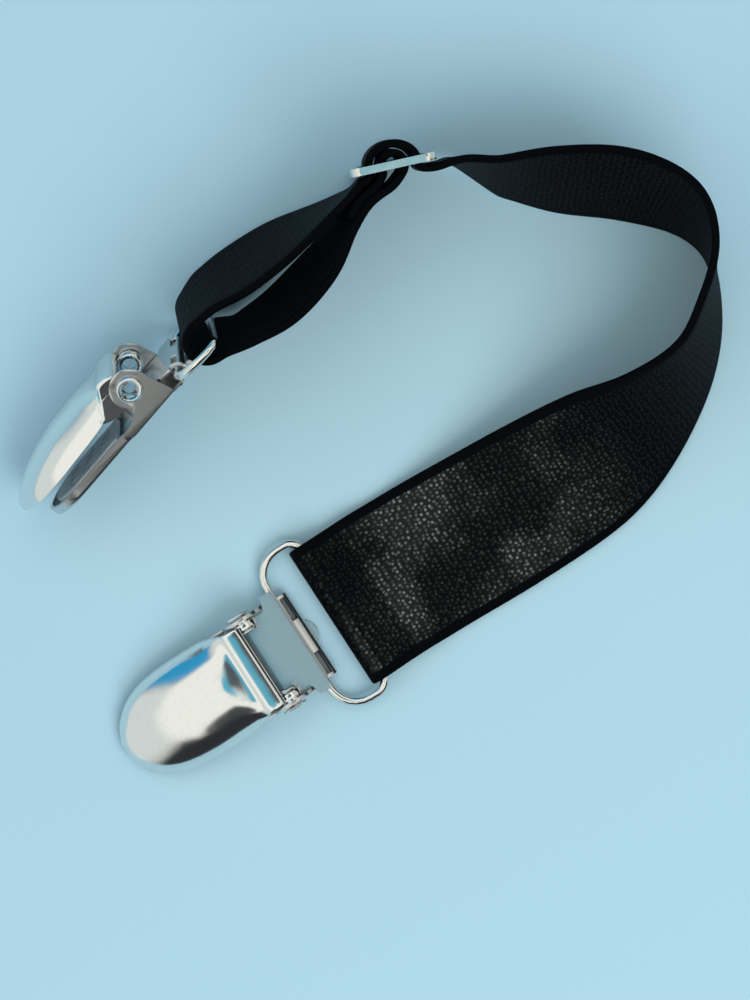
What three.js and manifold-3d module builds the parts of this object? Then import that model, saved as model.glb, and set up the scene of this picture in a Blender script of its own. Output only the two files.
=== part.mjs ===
// Sock suspender: a black elastic strap with two clips and a slider, lying on a table.
// Units are millimetres, +Z is up. The strap stands on its edge at the turn and at the loop.
import * as THREE from 'three';
import { mergeVertices } from 'three/addons/utils/BufferGeometryUtils.js';
import Module from 'manifold-3d';

const wasm = await Module();
wasm.setup();

const SHEET = 0.6;
const GAP = 0.3;
const DEG = Math.PI / 180;
const ROUND_SIDES = 18;

const STRAP = {
  width: 25,
  thickness: 1.3,
  edgeRound: 0.3,
  tail: 9,
  sewnOverlap: 0.1,
};

const RING = {
  wire: 0.7,
  halfLength: 13.9,
  barSpacing: 8.2,
  clipCorner: 4.6,
  strapCorner: 2.2,
  cornerSteps: 6,
  sides: 8,
};

const SLIDER = {
  length: 13.4,
  height: 29.4,
  thickness: 1.2,
  endBar: 1.5,
  midBar: 1.5,
  cap: 1.7,
  corner: 1.6,
};

const BASE = {
  underside: -5.6,
  rim: -4.0,
  halfWidth: 7.0,
  tipCentre: 17.6,
  earInner: 7.4,
  earOuter: 8.0,
  earRadius: 3.2,
  earRear: -4.2,
  earRearHeight: -4.9,
  earFront: 5.2,
  shoulder: 9.1,
  earToe: 6.6,
  earFrontAngle: -50,
  bodyStart: 6.8,
  rimStart: 6.4,
  cornerRound: 0.45,
  foldedHalfWidth: 6.9,
  foldedFront: 0.1,
  shoulderFront: -4.3,
  shoulderSlant: 0.5,
  foldReach: 2.3,
  foldLap: 0.5,
  bendHalfWidth: 7.6,
  bendFront: -6.6,
  slotFrom: 3.0,
  slotTo: 7.1,
  slotLength: 0.95,
  slotFloor: 0.2,
  tongueHalfWidth: 2.2,
  tongueRear: -9.5,
  tongueRound: 1.75,
};

const EYELET = {
  bore: 1.25,
  tube: 1.5,
  hole: 1.8,
  flange: 2.05,
  flangeThickness: 0.4,
};

const SHELL = {
  wall: 0.7,
  knuckle: 2.15,
  closedTurn: 7.5,
  lugInner: 6.1,
  lugOuter: 7.1,
  hollowFrom: 3.2,
  hollowTo: 25.8,
  leastHalf: 0.4,
  leastRise: 0.12,
  arcSteps: 12,
  lengthSteps: 34,
};

const PAD = {
  bottom: -4.7,
  top: -3.8,
  halfWidth: 5.7,
  rear: 8,
  tipCentre: 17.0,
  hole: 1.9,
  holeColumns: [10.6, 14.4, 18.2],
  holeRows: [-2.9, 0, 2.9],
};

// How far a cutting tool stands past the piece that it cuts.
const CLEAR = 1;

// The ring bar lies inside the fold of the base sheet.
const RING_BAR_X = -6.2;
const RING_BAR_Z = BASE.underside + SHEET + GAP + RING.wire;

const materials = {
  strap: new THREE.MeshStandardMaterial({ color: 0x101113, roughness: 0.85, metalness: 0 }),
  metal: new THREE.MeshStandardMaterial({ color: 0xc9cdcc, roughness: 0.22, metalness: 1 }),
  wire: new THREE.MeshStandardMaterial({ color: 0xd6d6cf, roughness: 0.18, metalness: 1 }),
  pad: new THREE.MeshStandardMaterial({ color: 0x7f8c95, roughness: 0.55, metalness: 0 }),
};

// Solids and booleans

function toSolid(geometry) {
  const bare = geometry.clone();
  bare.deleteAttribute('normal');
  bare.deleteAttribute('uv');
  const merged = mergeVertices(bare, 1e-4);
  return new wasm.Manifold(new wasm.Mesh({
    numProp: 3,
    vertProperties: new Float32Array(merged.attributes.position.array),
    triVerts: new Uint32Array(merged.index.array),
  }));
}

function toGeometry(solid) {
  const mesh = solid.getMesh();
  const geometry = new THREE.BufferGeometry();
  geometry.setAttribute('position', new THREE.BufferAttribute(mesh.vertProperties, 3));
  geometry.setIndex(new THREE.BufferAttribute(mesh.triVerts, 1));
  return geometry;
}

function join(geometries) {
  const [first, ...rest] = geometries.map(toSolid);
  return toGeometry(rest.reduce((sum, next) => sum.add(next), first));
}

function cut(geometry, tools) {
  return toGeometry(tools.map(toSolid).reduce((sum, next) => sum.subtract(next), toSolid(geometry)));
}

function enclosedVolume(points, triangles) {
  let volume = 0;
  for (const [a, b, c] of triangles) {
    volume += points[a].dot(new THREE.Vector3().crossVectors(points[b], points[c]));
  }
  return volume / 6;
}

// A closed skin over rows of equal length; a looped skin has no end caps.
function loft(rows, looped = false) {
  const count = rows[0].length;
  const points = rows.flat();
  const triangles = [];
  const rowCount = looped ? rows.length : rows.length - 1;
  for (let row = 0; row < rowCount; row += 1) {
    const next = (row + 1) % rows.length;
    for (let column = 0; column < count; column += 1) {
      const side = (column + 1) % count;
      const a = row * count + column;
      const b = row * count + side;
      const c = next * count + column;
      const d = next * count + side;
      triangles.push([a, b, c], [b, d, c]);
    }
  }
  if (!looped) {
    const last = (rows.length - 1) * count;
    for (let column = 1; column < count - 1; column += 1) {
      triangles.push([0, column + 1, column], [last, last + column, last + column + 1]);
    }
  }
  const outward = enclosedVolume(points, triangles) > 0;
  const geometry = new THREE.BufferGeometry().setFromPoints(points);
  geometry.setIndex(triangles.flatMap(([a, b, c]) => (outward ? [a, b, c] : [a, c, b])));
  return geometry;
}

// A plan outline as a plate between two heights.
function flatPlate(shape, bottom, top) {
  const geometry = new THREE.ExtrudeGeometry(shape, {
    depth: top - bottom,
    bevelEnabled: false,
    curveSegments: 8,
  });
  return geometry.translate(0, 0, bottom);
}

// An outline in x and z as a plate that runs across the clip, along y.
function crossPlate(shape, from, to) {
  const geometry = new THREE.ExtrudeGeometry(shape, {
    depth: to - from,
    bevelEnabled: false,
    curveSegments: 8,
  });
  return geometry.rotateX(Math.PI / 2).translate(0, to, 0);
}

function box(from, to) {
  const size = new THREE.Vector3().subVectors(to, from);
  const middle = new THREE.Vector3().addVectors(from, to).multiplyScalar(0.5);
  return new THREE.BoxGeometry(size.x, size.y, size.z).translate(middle.x, middle.y, middle.z);
}

function crossCylinder(radius, from, to, x = 0, z = 0) {
  return new THREE.CylinderGeometry(radius, radius, to - from, ROUND_SIDES)
    .translate(x, (from + to) / 2, z);
}

// Clip pieces, in the clip's own frame:
// x runs from the eyelets to the tip, y along the eyelets, z out of the domed shell.

function roundTipShape(rear, halfWidth, tipCentre) {
  const shape = new THREE.Shape();
  shape.moveTo(rear, -halfWidth);
  shape.lineTo(tipCentre, -halfWidth);
  shape.absarc(tipCentre, 0, halfWidth, -Math.PI / 2, Math.PI / 2, false);
  shape.lineTo(rear, halfWidth);
  shape.closePath();
  return shape;
}

function basePlanShape() {
  const { halfWidth, tipCentre, earOuter, earFront, earRear, shoulder, bodyStart } = BASE;
  const shape = new THREE.Shape();
  shape.moveTo(RING_BAR_X, -shoulder);
  shape.lineTo(BASE.shoulderFront, -shoulder);
  shape.lineTo(earRear, -earOuter);
  shape.lineTo(earFront, -earOuter);
  shape.lineTo(bodyStart, -halfWidth);
  shape.lineTo(tipCentre, -halfWidth);
  shape.absarc(tipCentre, 0, halfWidth, -Math.PI / 2, Math.PI / 2, false);
  shape.lineTo(bodyStart, halfWidth);
  shape.lineTo(earFront, earOuter);
  shape.lineTo(earRear, earOuter);
  shape.lineTo(BASE.shoulderFront, shoulder);
  shape.lineTo(RING_BAR_X, shoulder);
  shape.closePath();
  return shape;
}

function rimShape() {
  const { halfWidth, tipCentre, rimStart } = BASE;
  const inner = halfWidth - SHEET;
  const shape = new THREE.Shape();
  shape.moveTo(rimStart, -halfWidth);
  shape.lineTo(tipCentre, -halfWidth);
  shape.absarc(tipCentre, 0, halfWidth, -Math.PI / 2, Math.PI / 2, false);
  shape.lineTo(rimStart, halfWidth);
  shape.lineTo(rimStart, inner);
  shape.lineTo(tipCentre, inner);
  shape.absarc(tipCentre, 0, inner, Math.PI / 2, -Math.PI / 2, true);
  shape.lineTo(rimStart, -inner);
  shape.closePath();
  return shape;
}

function earShape() {
  const { earRadius, earRear, earRearHeight, earToe, rim } = BASE;
  const foot = BASE.underside + BASE.cornerRound;
  const reach = Math.hypot(earRear, earRearHeight);
  const bearing = Math.atan2(earRearHeight, earRear) + 2 * Math.PI;
  const tangent = bearing - Math.acos(earRadius / reach);
  const shape = new THREE.Shape();
  shape.moveTo(earRear, foot);
  shape.lineTo(earRear, earRearHeight);
  shape.absarc(0, 0, earRadius, tangent, BASE.earFrontAngle * DEG, true);
  shape.quadraticCurveTo(earRadius, rim, earToe, rim);
  shape.lineTo(earToe, foot);
  shape.closePath();
  return shape;
}

// The sheet goes round the ring bar and comes forward again over it.
function foldShape() {
  const outer = RING_BAR_Z - BASE.underside;
  const inner = outer - SHEET;
  const shape = new THREE.Shape();
  shape.moveTo(BASE.foldedFront, RING_BAR_Z + outer);
  shape.lineTo(RING_BAR_X, RING_BAR_Z + outer);
  shape.absellipse(RING_BAR_X, RING_BAR_Z, BASE.foldReach, outer, Math.PI / 2, 1.5 * Math.PI, false);
  shape.lineTo(RING_BAR_X + BASE.foldLap, RING_BAR_Z - outer);
  shape.lineTo(RING_BAR_X + BASE.foldLap, RING_BAR_Z - inner);
  shape.lineTo(RING_BAR_X, RING_BAR_Z - inner);
  shape.absellipse(RING_BAR_X, RING_BAR_Z, BASE.foldReach - SHEET, inner, 1.5 * Math.PI, Math.PI / 2, true);
  shape.lineTo(BASE.foldedFront, RING_BAR_Z + inner);
  shape.closePath();
  return shape;
}

function tongueShape() {
  const { tongueHalfWidth, tongueRear, tongueRound } = BASE;
  const shape = new THREE.Shape();
  const centre = tongueRear + tongueRound;
  shape.moveTo(RING_BAR_X, tongueHalfWidth);
  shape.lineTo(centre, tongueHalfWidth);
  shape.absellipse(centre, 0, tongueRound, tongueHalfWidth, Math.PI / 2, 1.5 * Math.PI, false);
  shape.lineTo(RING_BAR_X, -tongueHalfWidth);
  shape.closePath();
  return shape;
}

// A plate whose lower outer corner is rounded, as pressed sheet has it.
function pressedPlate(shape, bottom, top, round) {
  const geometry = new THREE.ExtrudeGeometry(shape, {
    depth: top - bottom,
    bevelThickness: round,
    bevelSize: round,
    bevelOffset: -round,
    bevelSegments: 2,
    curveSegments: 8,
  });
  const high = top + round + CLEAR;
  const span = 2 * BASE.tipCentre;
  const above = box(new THREE.Vector3(-span, -span, top), new THREE.Vector3(span, span, high));
  return cut(geometry.translate(0, 0, bottom + round), [above]);
}

// The notch beside the folded plate, between its shoulder and the ear.
function notchShape(side) {
  const { foldedHalfWidth, shoulder, shoulderFront, shoulderSlant } = BASE;
  const near = side * foldedHalfWidth;
  const far = side * (shoulder + CLEAR);
  const shape = new THREE.Shape();
  shape.moveTo(shoulderFront + shoulderSlant, near);
  shape.lineTo(shoulderFront - shoulderSlant, far);
  shape.lineTo(BASE.foldedFront + CLEAR, far);
  shape.lineTo(BASE.foldedFront + CLEAR, near);
  shape.closePath();
  return shape;
}

function baseJaw() {
  const { underside, rim, earInner, earOuter, shoulder, cornerRound } = BASE;
  const foldTop = RING_BAR_Z + (RING_BAR_Z - underside);
  const slotRear = RING_BAR_X - BASE.foldReach + SHEET;
  const cuts = [];
  for (const side of [-1, 1]) {
    cuts.push(flatPlate(notchShape(side), RING_BAR_Z, foldTop + CLEAR));
    const slot = [side * BASE.slotFrom, side * BASE.slotTo];
    cuts.push(box(
      new THREE.Vector3(slotRear, Math.min(...slot), RING_BAR_Z + BASE.slotFloor),
      new THREE.Vector3(slotRear + BASE.slotLength, Math.max(...slot), foldTop + CLEAR),
    ));
    const bend = [side * BASE.bendHalfWidth, side * (shoulder + CLEAR)];
    cuts.push(box(
      new THREE.Vector3(RING_BAR_X - BASE.foldReach - CLEAR, Math.min(...bend), underside - CLEAR),
      new THREE.Vector3(BASE.bendFront, Math.max(...bend), foldTop + CLEAR),
    ));
  }
  const sheet = cut(join([
    pressedPlate(basePlanShape(), underside, underside + SHEET, cornerRound),
    flatPlate(rimShape(), underside + cornerRound, rim),
    crossPlate(foldShape(), -shoulder, shoulder),
    flatPlate(tongueShape(), underside, underside + SHEET),
  ]), cuts);
  const ears = [crossPlate(earShape(), earInner, earOuter), crossPlate(earShape(), -earOuter, -earInner)];
  return cut(join([sheet, ...ears]), [crossCylinder(EYELET.hole, -earOuter - CLEAR, earOuter + CLEAR)]);
}

function eyelet(side) {
  const { bore, tube, flange, flangeThickness } = EYELET;
  const inner = SHELL.lugInner - GAP - flangeThickness;
  const outer = BASE.earOuter + GAP + flangeThickness;
  const profile = [
    [bore, inner],
    [flange, inner],
    [flange, inner + flangeThickness],
    [tube, inner + flangeThickness],
    [tube, outer - flangeThickness],
    [flange, outer - flangeThickness],
    [flange, outer],
    [bore, outer],
    [bore, inner],
  ].map(([radius, height]) => new THREE.Vector2(radius, height));
  const geometry = new THREE.LatheGeometry(profile, ROUND_SIDES);
  return side > 0 ? geometry : geometry.rotateX(Math.PI);
}

function jawPad() {
  const { bottom, top, rear, halfWidth, tipCentre, hole, holeColumns, holeRows } = PAD;
  const holes = holeColumns.flatMap((x) => holeRows.map((y) => box(
    new THREE.Vector3(x - hole / 2, y - hole / 2, bottom - CLEAR),
    new THREE.Vector3(x + hole / 2, y + hole / 2, top + CLEAR),
  )));
  return cut(flatPlate(roundTipShape(rear, halfWidth, tipCentre), bottom, top), holes);
}

// Sections of the domed shell in the open pose: station, half width, crown and rim height,
// and flatness, which is 0 for a square section and 1 for an ellipse.
// The flat rear lip curls down at its end, and a crease parts it from the dome.
const SHELL_ROWS = [
  { x: 0.35, half: 6.9, crown: 3.15, rim: 2.6, flatness: 0.15 },
  { x: 0.65, half: 7.05, crown: 3.7, rim: 2.95, flatness: 0.15 },
  { x: 1.15, half: 7.1, crown: 3.95, rim: 3.3, flatness: 0.15 },
  { x: 2.9, half: 7.2, crown: 4.2, rim: 3.5, flatness: 0.15 },
  { x: 3.6, half: 7.4, crown: 3.85, rim: 2.9, flatness: 0.3 },
  { x: 4.5, half: 7.75, crown: 3.95, rim: 1.7, flatness: 0.55 },
  { x: 6.2, half: 8.2, crown: 4.4, rim: -0.1, flatness: 0.8 },
  { x: 8.4, half: 8.5, crown: 4.6, rim: -0.6, flatness: 0.92 },
  { x: 14.5, half: 8.6, crown: 4.4, rim: -1.0, flatness: 0.92 },
  { x: 19.4, half: 8.1, crown: 3.55, rim: -1.3, flatness: 0.92 },
  { x: 23.0, half: 6.7, crown: 2.4, rim: -1.45, flatness: 0.92 },
  { x: 25.6, half: 4.5, crown: 1.1, rim: -1.5, flatness: 0.92 },
  { x: 26.9, half: 2.2, crown: 0.1, rim: -1.4, flatness: 0.92 },
];

function shellSection(row, inset) {
  const half = Math.max(row.half - inset, SHELL.leastHalf);
  const crown = Math.max(row.crown - inset, row.rim + SHELL.leastRise);
  const floor = inset > 0 ? row.rim - CLEAR : row.rim;
  const spring = row.rim + SHELL.leastRise / 6;
  const points = [new THREE.Vector3(row.x, half, floor)];
  for (let step = 0; step <= SHELL.arcSteps; step += 1) {
    const angle = Math.PI * (step / SHELL.arcSteps);
    const across = Math.sign(Math.cos(angle)) * Math.abs(Math.cos(angle)) ** row.flatness;
    const up = Math.sin(angle) ** row.flatness;
    points.push(new THREE.Vector3(row.x, half * across, spring + (crown - spring) * up));
  }
  points.push(new THREE.Vector3(row.x, -half, floor));
  return points;
}

function shellRows(table) {
  const smooth = (vectors) => new THREE.CatmullRomCurve3(vectors, false, 'catmullrom', 0.5);
  const upper = smooth(table.map((row) => new THREE.Vector3(row.x, row.half, row.crown)));
  const lower = smooth(table.map((row) => new THREE.Vector3(row.rim, row.flatness, 0)));
  const rows = [];
  for (let step = 0; step <= SHELL.lengthSteps; step += 1) {
    const above = upper.getPoint(step / SHELL.lengthSteps);
    const below = lower.getPoint(step / SHELL.lengthSteps);
    rows.push({ x: above.x, half: above.y, crown: above.z, rim: below.x, flatness: below.y });
  }
  return rows;
}

// The lug that joins the dome's side to its eyelet, drawn in x and z.
const LUG_FRONT = [
  { x: 3.9, z: -1.8 },
  { x: 5.9, z: -1.4 },
  { x: 7.4, z: -0.5 },
  { x: 8.4, z: 0.3 },
  { x: 5.6, z: 1.9 },
  { x: 4.0, z: 1.9 },
];
const LUG_BRIDGE = { rear: 6.2, front: 8.4, inner: 6.5, outer: 8.0, bottom: -0.3, top: 0.5 };

function lugShape() {
  const shape = new THREE.Shape();
  shape.absarc(0, 0, SHELL.knuckle, 60 * DEG, 300 * DEG, false);
  for (const point of LUG_FRONT) {
    shape.lineTo(point.x, point.z);
  }
  shape.closePath();
  return shape;
}

function shellJaw() {
  const { lugInner, lugOuter, wall, hollowFrom, hollowTo } = SHELL;
  const rows = shellRows(SHELL_ROWS);
  const outer = loft(rows.map((row) => shellSection(row, 0)));
  const inside = rows.filter((row) => row.x > hollowFrom && row.x < hollowTo);
  const innerRows = inside.filter((row, index) => index % 2 === 0 || index === inside.length - 1);
  const inner = loft(innerRows.map((row) => shellSection(row, wall)));
  const pieces = [cut(outer, [inner])];
  for (const side of [-1, 1]) {
    const lug = [side * lugInner, side * lugOuter];
    const bridge = [side * LUG_BRIDGE.inner, side * LUG_BRIDGE.outer];
    pieces.push(crossPlate(lugShape(), Math.min(...lug), Math.max(...lug)));
    pieces.push(box(
      new THREE.Vector3(LUG_BRIDGE.rear, Math.min(...bridge), LUG_BRIDGE.bottom),
      new THREE.Vector3(LUG_BRIDGE.front, Math.max(...bridge), LUG_BRIDGE.top),
    ));
  }
  return cut(join(pieces), [crossCylinder(EYELET.hole, -lugOuter - CLEAR, lugOuter + CLEAR)]);
}

// Wire ring: the clip bar lies on the y axis and the strap bar at -barSpacing along x.
function ring() {
  const { wire, halfLength, barSpacing, clipCorner, strapCorner, cornerSteps, sides } = RING;
  const path = [];
  const corner = (x, y, radius, from, to) => {
    for (let step = 0; step <= cornerSteps; step += 1) {
      const angle = (from + (to - from) * (step / cornerSteps)) * DEG;
      path.push(new THREE.Vector2(x + radius * Math.cos(angle), y + radius * Math.sin(angle)));
    }
  };
  corner(-clipCorner, halfLength - clipCorner, clipCorner, 0, 90);
  corner(-barSpacing + strapCorner, halfLength - strapCorner, strapCorner, 90, 180);
  corner(-barSpacing + strapCorner, -halfLength + strapCorner, strapCorner, 180, 270);
  corner(-clipCorner, -halfLength + clipCorner, clipCorner, 270, 360);
  const rows = path.map((point, index) => {
    const before = path[(index + path.length - 1) % path.length];
    const after = path[(index + 1) % path.length];
    const heading = new THREE.Vector2().subVectors(after, before).normalize();
    const side = new THREE.Vector3(heading.y, -heading.x, 0);
    const centre = new THREE.Vector3(point.x, point.y, 0);
    const row = [];
    for (let step = 0; step < sides; step += 1) {
      const angle = 2 * Math.PI * (step / sides);
      row.push(centre.clone()
        .addScaledVector(side, wire * Math.cos(angle))
        .add(new THREE.Vector3(0, 0, wire * Math.sin(angle))));
    }
    return row;
  });
  return loft(rows, true);
}

// Slider: a flat frame with a middle bar; x along its short way, z along its bars.
function slider() {
  const { length, height, thickness, endBar, midBar, cap, corner } = SLIDER;
  const x = length / 2;
  const z = height / 2;
  const shape = new THREE.Shape();
  shape.absarc(x - corner, -z + corner, corner, -Math.PI / 2, 0, false);
  shape.absarc(x - corner, z - corner, corner, 0, Math.PI / 2, false);
  shape.absarc(-x + corner, z - corner, corner, Math.PI / 2, Math.PI, false);
  shape.absarc(-x + corner, -z + corner, corner, Math.PI, 1.5 * Math.PI, false);
  const plate = crossPlate(shape, -thickness / 2, thickness / 2);
  const slots = [-1, 1].map((side) => {
    const near = side * midBar / 2;
    const far = side * (x - endBar);
    return box(
      new THREE.Vector3(Math.min(near, far), -thickness, -z + cap),
      new THREE.Vector3(Math.max(near, far), thickness, z - cap),
    );
  });
  return cut(plate, slots);
}

// Strap

// Places of the metal parts in the layout.
const CLIP_A = {
  strapBar: new THREE.Vector3(-5.2, -17.8, 2.35),
  ringHeading: 213,
};
const CLIP_B = {
  strapBar: new THREE.Vector3(-25.7, 27.5, 14.6),
  lean: 16.2,
  leanTowards: -70,
  ringHeading: 228,
  clipHeading: 231.5,
  droop: 3.2,
  foldCentre: new THREE.Vector3(-26.9, 27.4, 14.5),
  foldRadius: 3.2,
  open: 8.5,
};
const SLIDER_PLACE = {
  centre: new THREE.Vector3(2.5, 52.4, SLIDER.height / 2),
  heading: 12.5,
  lean: 84.5,
};

const UP = new THREE.Vector3(0, 0, 1);

function heading(degrees) {
  return new THREE.Vector3(Math.cos(degrees * DEG), Math.sin(degrees * DEG), 0);
}

// The part of a direction that is square to an axis, at length one.
function squareTo(axis, direction) {
  return direction.clone().addScaledVector(axis, -direction.dot(axis)).normalize();
}

const RING_B_AXIS = heading(CLIP_B.leanTowards).multiplyScalar(Math.sin(CLIP_B.lean * DEG))
  .addScaledVector(UP, Math.cos(CLIP_B.lean * DEG));

// The strap's course from the ring of clip a to the slider: place of its middle line,
// lean of its width from flat, and height of its lower edge above the table.
const LONG_ARM = [
  { x: 4.9, y: -11.4, lean: 0, lift: 0.5 },
  { x: 9.9, y: -8.4, lean: 2, lift: 0.05 },
  { x: 20.6, y: -2.2, lean: 10, lift: 0 },
  { x: 34.0, y: 6.0, lean: 26, lift: 0 },
  { x: 43.3, y: 13.3, lean: 52, lift: 0 },
  { x: 50.0, y: 21.8, lean: 70, lift: 0 },
  { x: 52.6, y: 31.0, lean: 79, lift: 0 },
  { x: 52.5, y: 39.4, lean: 89, lift: 0 },
  { x: 47.8, y: 46.0, lean: 104, lift: 0 },
  { x: 39.2, y: 49.4, lean: 110, lift: 0 },
  { x: 29.0, y: 50.2, lean: 108, lift: 0.4 },
  { x: 19.8, y: 50.7, lean: 98, lift: 1.2 },
];

// The weave through the slider, measured along and across its frame from the middle bar.
const WEAVE_IN = [
  { along: 9.6, across: -1.5 },
  { along: 7.0, across: -1.75 },
  { along: 5.3, across: -1.65 },
];
const WEAVE = { halfSpan: 3.9, height: 3.25, from: -20, to: 200 };
const WEAVE_OUT = [
  { along: -5.3, across: -1.75 },
  { along: -6.8, across: -2.9 },
];

// From the slider to the ring of clip b, and back to the slider's middle bar.
const OUTER_STRAND = [
  { x: -9.2, y: 44.2, lean: 78, lift: 1.6 },
  { x: -15.4, y: 40.2, lean: 71, lift: 1.2 },
  { x: -22.0, y: 35.6, lean: 69, lift: 1.2 },
  { x: -26.6, y: 32.5, lean: 72, lift: 1.8 },
];
const INNER_STRAND = [
  { x: -20.8, y: 26.4, lean: 104, lift: 1.4 },
  { x: -14.6, y: 30.4, lean: 107, lift: 1.4 },
  { x: -9.0, y: 36.4, lean: 106, lift: 1.6 },
  { x: -5.0, y: 42.4, lean: 100, lift: 1.8 },
  { x: -1.8, y: 46.3, lean: 97, lift: 2.1 },
  { x: 2.2, y: 48.9, lean: 95, lift: 2.1 },
];
const END_LOOP = { radius: 1.9, from: -30, to: 210 };
// How far the end's tail stands off the strand that it is sewn to, from the slider down.
const TAIL_OFFSETS = [2.5, 1.8, 1.2, 1.0, 1.0, 1.0, 1.0, 1.0];

// Stations along each turn of the strap, and between two rows of its course.
const ROUND_STEPS = 13;
const ROW_STEPS = 4;

function strapPlace(row) {
  const half = STRAP.width / 2;
  const rise = half * Math.sin(row.lean * DEG);
  const flatRest = (STRAP.thickness / 2) * Math.abs(Math.cos(row.lean * DEG));
  return new THREE.Vector3(row.x, row.y, row.lift + rise + flatRest);
}

function leanedWidth(along, lean) {
  const left = new THREE.Vector3(-along.y, along.x, 0).normalize();
  return left.multiplyScalar(Math.cos(lean * DEG)).addScaledVector(UP, Math.sin(lean * DEG));
}

// Stations of a smooth course through a table's rows.
function courseStations(table) {
  const smooth = (vectors) => new THREE.CatmullRomCurve3(vectors, false, 'catmullrom', 0.5);
  const places = smooth(table.map((row) => new THREE.Vector3(row.x, row.y, 0)));
  const leans = smooth(table.map((row) => new THREE.Vector3(row.lean, row.lift, 0)));
  const steps = ROW_STEPS * (table.length - 1);
  const stations = [];
  for (let step = 0; step <= steps; step += 1) {
    const place = places.getPoint(step / steps);
    const lean = leans.getPoint(step / steps);
    stations.push({
      point: strapPlace({ x: place.x, y: place.y, lean: lean.x, lift: lean.y }),
      width: leanedWidth(places.getTangent(step / steps), lean.x),
    });
  }
  return stations;
}

// Stations round a bar, turning about its axis from a starting arm.
function barStations(centre, axis, startArm, from, to) {
  const stations = [];
  for (let step = 0; step <= ROUND_STEPS; step += 1) {
    const angle = (from + (to - from) * (step / ROUND_STEPS)) * DEG;
    const arm = startArm.clone().applyAxisAngle(axis, angle);
    stations.push({ point: centre.clone().add(arm), width: axis.clone() });
  }
  return stations;
}

function strapSection(station, along) {
  const { width, thickness, edgeRound } = STRAP;
  const across = station.width.clone().normalize();
  const face = new THREE.Vector3().crossVectors(along, across).normalize();
  const w = width / 2;
  const t = thickness / 2;
  const outline = [
    [w, -t + edgeRound], [w, t - edgeRound], [w - edgeRound, t], [-w + edgeRound, t],
    [-w, t - edgeRound], [-w, -t + edgeRound], [-w + edgeRound, -t], [w - edgeRound, -t],
  ];
  return outline.map(([side, up]) => station.point.clone()
    .addScaledVector(across, side)
    .addScaledVector(face, up));
}

function strapSweep(stations) {
  return loft(stations.map((station, index) => {
    const before = stations[Math.max(index - 1, 0)].point;
    const after = stations[Math.min(index + 1, stations.length - 1)].point;
    return strapSection(station, new THREE.Vector3().subVectors(after, before).normalize());
  }));
}

const FOLD_RADIUS = RING.wire + GAP + STRAP.thickness / 2;

// The fold at clip a: the tail lies under the strap and is sewn to it.
const SEWN_HEIGHT = 1.5 * STRAP.thickness - STRAP.sewnOverlap;
const FOLD_DESCENT = [
  { distance: 1.2, height: 3.9 },
  { distance: 2.5, height: 3.3 },
  { distance: 3.9, height: 2.3 },
  { distance: 5.4, height: SEWN_HEIGHT },
  { distance: 8.6, height: SEWN_HEIGHT },
];

function foldAtClipA() {
  const forward = heading(CLIP_A.ringHeading - 180);
  const across = new THREE.Vector3().crossVectors(UP, forward);
  const bar = CLIP_A.strapBar;
  const station = ({ distance, height }) => ({
    point: bar.clone().addScaledVector(forward, distance).setZ(height),
    width: across.clone(),
  });
  const low = STRAP.thickness / 2;
  const tail = [STRAP.tail, STRAP.tail / 2, STRAP.tail / 6]
    .map((distance) => station({ distance, height: low }));
  const startArm = UP.clone().multiplyScalar(-FOLD_RADIUS);
  const round = barStations(bar, across, startArm, 0, 180);
  return { tail: [...tail, ...round], descent: FOLD_DESCENT.map(station) };
}

const SLIDER_X = heading(SLIDER_PLACE.heading);
const SLIDER_BAR = heading(SLIDER_PLACE.heading + 90).multiplyScalar(-Math.cos(SLIDER_PLACE.lean * DEG))
  .addScaledVector(UP, Math.sin(SLIDER_PLACE.lean * DEG));
const SLIDER_Y = new THREE.Vector3().crossVectors(SLIDER_BAR, SLIDER_X);

function sliderStation({ along, across }) {
  return {
    point: SLIDER_PLACE.centre.clone()
      .addScaledVector(SLIDER_X, along)
      .addScaledVector(SLIDER_Y, across),
    width: SLIDER_BAR.clone(),
  };
}

// Over the middle bar, from the right slot to the left slot.
function weaveStations() {
  const stations = WEAVE_IN.map(sliderStation);
  for (let step = 0; step <= ROUND_STEPS; step += 1) {
    const angle = (WEAVE.from + (WEAVE.to - WEAVE.from) * (step / ROUND_STEPS)) * DEG;
    stations.push(sliderStation({
      along: WEAVE.halfSpan * Math.cos(angle),
      across: WEAVE.height * Math.sin(angle),
    }));
  }
  stations.push(...WEAVE_OUT.map(sliderStation));
  return stations;
}

function foldAtClipB() {
  const towards = squareTo(RING_B_AXIS, heading(CLIP_B.ringHeading));
  const startArm = new THREE.Vector3().crossVectors(towards, RING_B_AXIS).multiplyScalar(CLIP_B.foldRadius);
  return barStations(CLIP_B.foldCentre, RING_B_AXIS, startArm, 0, 180);
}

function endLoop() {
  const arm = SLIDER_X.clone().multiplyScalar(END_LOOP.radius);
  return barStations(SLIDER_PLACE.centre, SLIDER_BAR, arm, END_LOOP.from, END_LOOP.to);
}

// The sewn tail runs back along the strand that it was folded from.
function tailStations(strand) {
  const back = [...strand].reverse().slice(0, TAIL_OFFSETS.length + 1);
  return TAIL_OFFSETS.map((offset, index) => {
    const along = new THREE.Vector3().subVectors(back[index].point, back[index + 1].point);
    const face = new THREE.Vector3().crossVectors(along, back[index].width).normalize();
    return {
      point: back[index].point.clone().addScaledVector(face, -offset),
      width: back[index].width.clone(),
    };
  });
}

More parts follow.
